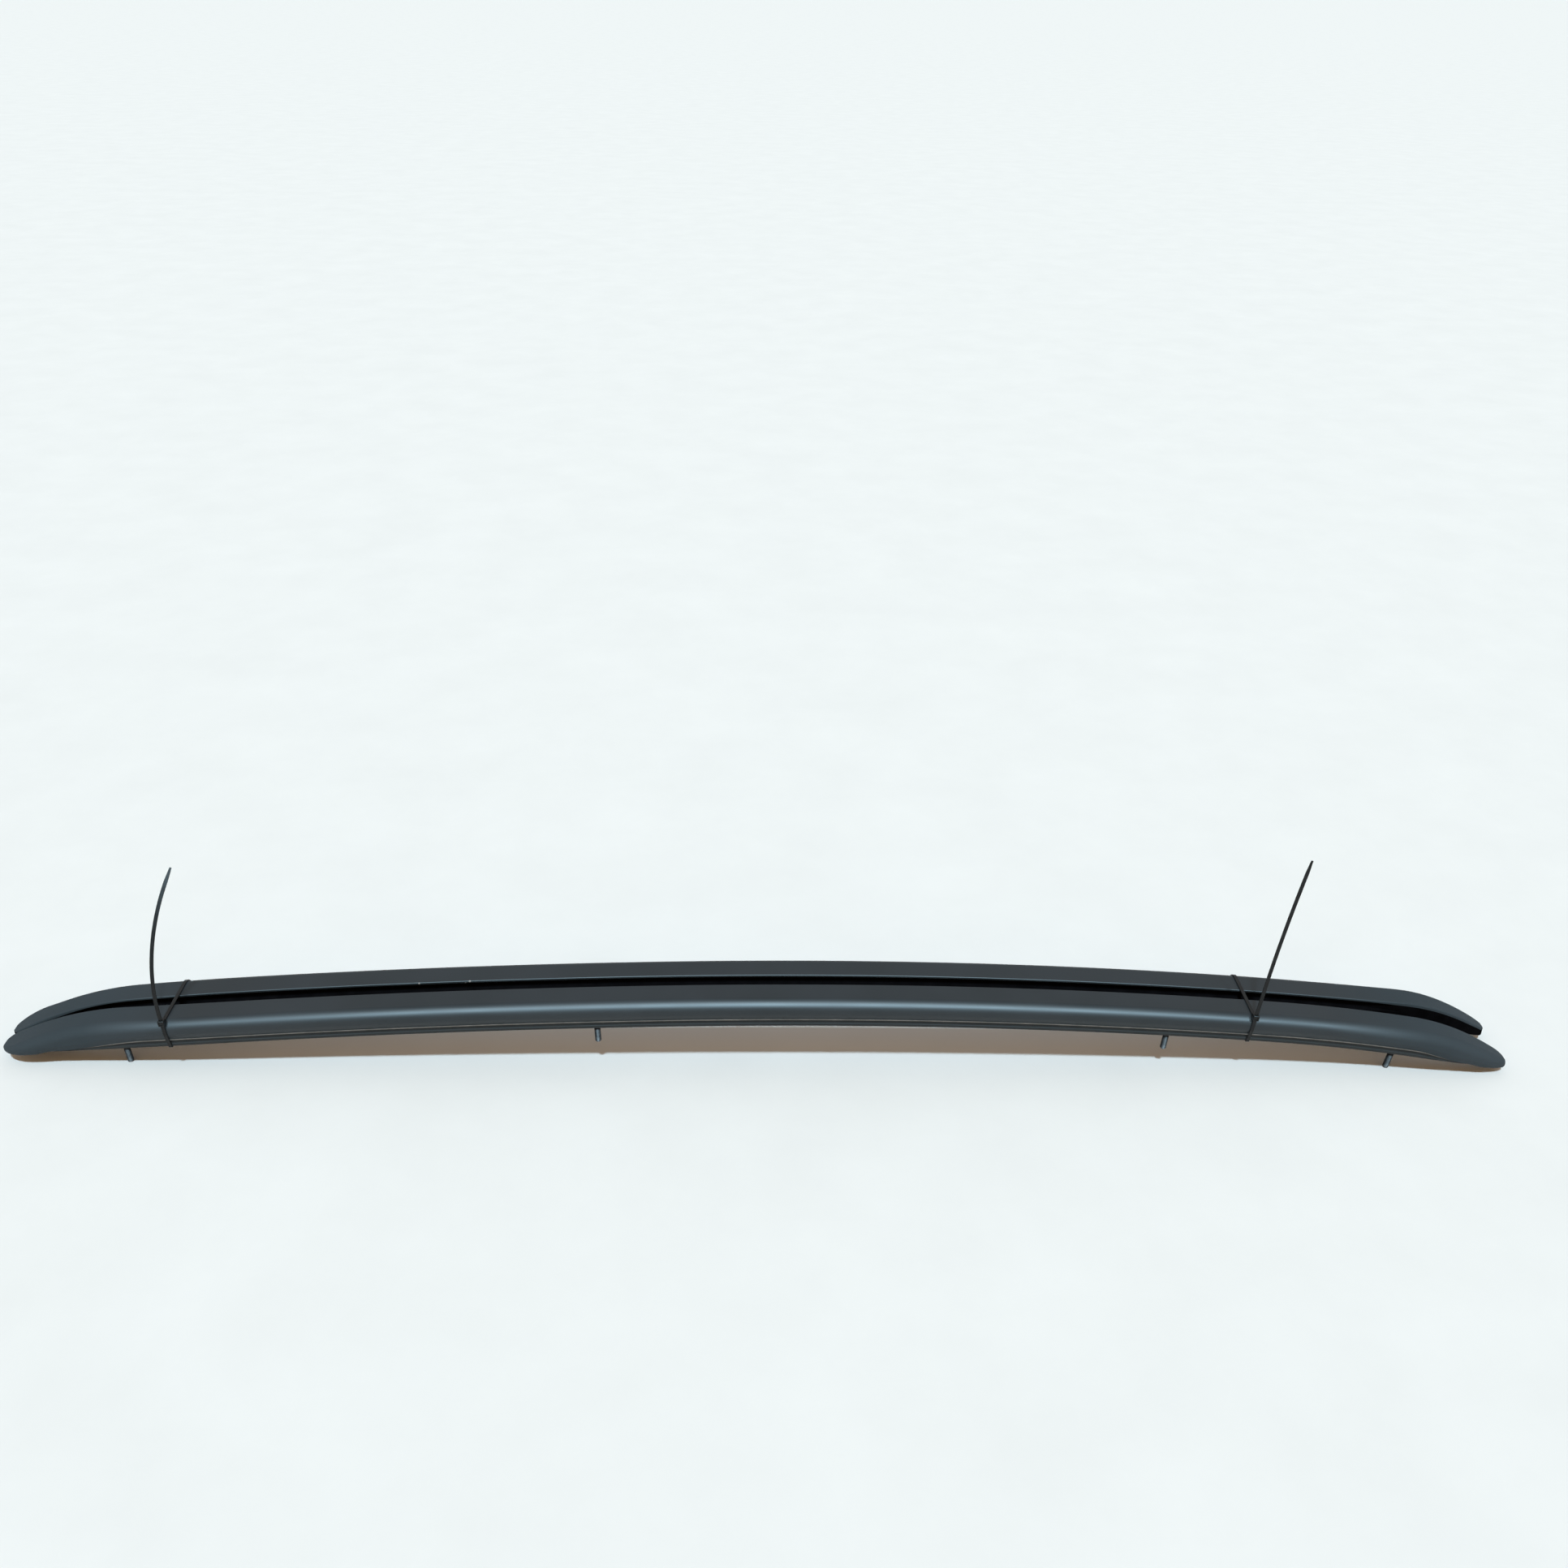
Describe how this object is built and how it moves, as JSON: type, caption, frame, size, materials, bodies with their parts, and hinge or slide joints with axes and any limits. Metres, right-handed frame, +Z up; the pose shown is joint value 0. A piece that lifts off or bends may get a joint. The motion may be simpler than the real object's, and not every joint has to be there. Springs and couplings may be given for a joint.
{
  "type": "roof side rail pair",
  "caption": "Pair of slim black arched roof side rails with formed toe ends, rubber base seals and threaded fixing studs, strapped together by cable ties.",
  "frame": {"origin": "bottom centre of the pair's bounding box, on the ground that the end studs stand on", "axes": "+X along the rails towards their front end, +Y from the right-hand to the left-hand rail, +Z up"},
  "size_m": [1.978, 0.1134, 0.3334],
  "materials": {
    "bar_coating": "satin black coating with a fine grain",
    "seal_rubber": "matte black",
    "stud_steel": "dark zinc plating",
    "spacer_plastic": "matte",
    "washer_rubber": "matte",
    "tie_nylon": "slightly glossy nylon"
  },
  "bodies": {
    "root": {"front_cable_tie": "tie_nylon", "left_base_seal": "seal_rubber", "left_rail_bar": "bar_coating", "left_spacer_front": "spacer_plastic", "left_spacer_mid_front": "spacer_plastic", "left_spacer_mid_rear": "spacer_plastic", "left_spacer_rear": "spacer_plastic", "left_stud_front": "stud_steel", "left_stud_mid_front": "stud_steel", "left_stud_mid_rear": "stud_steel", "left_stud_rear": "stud_steel", "left_washer_front": "washer_rubber", "left_washer_mid_front": "washer_rubber", "left_washer_mid_rear": "washer_rubber", "left_washer_rear": "washer_rubber", "rear_cable_tie": "tie_nylon", "right_base_seal": "seal_rubber", "right_rail_bar": "bar_coating", "right_spacer_front": "spacer_plastic", "right_spacer_mid_front": "spacer_plastic", "right_spacer_mid_rear": "spacer_plastic", "right_spacer_rear": "spacer_plastic", "right_stud_front": "stud_steel", "right_stud_mid_front": "stud_steel", "right_stud_mid_rear": "stud_steel", "right_stud_rear": "stud_steel", "right_washer_front": "washer_rubber", "right_washer_mid_front": "washer_rubber", "right_washer_mid_rear": "washer_rubber", "right_washer_rear": "washer_rubber"}
  },
  "joints": []
}
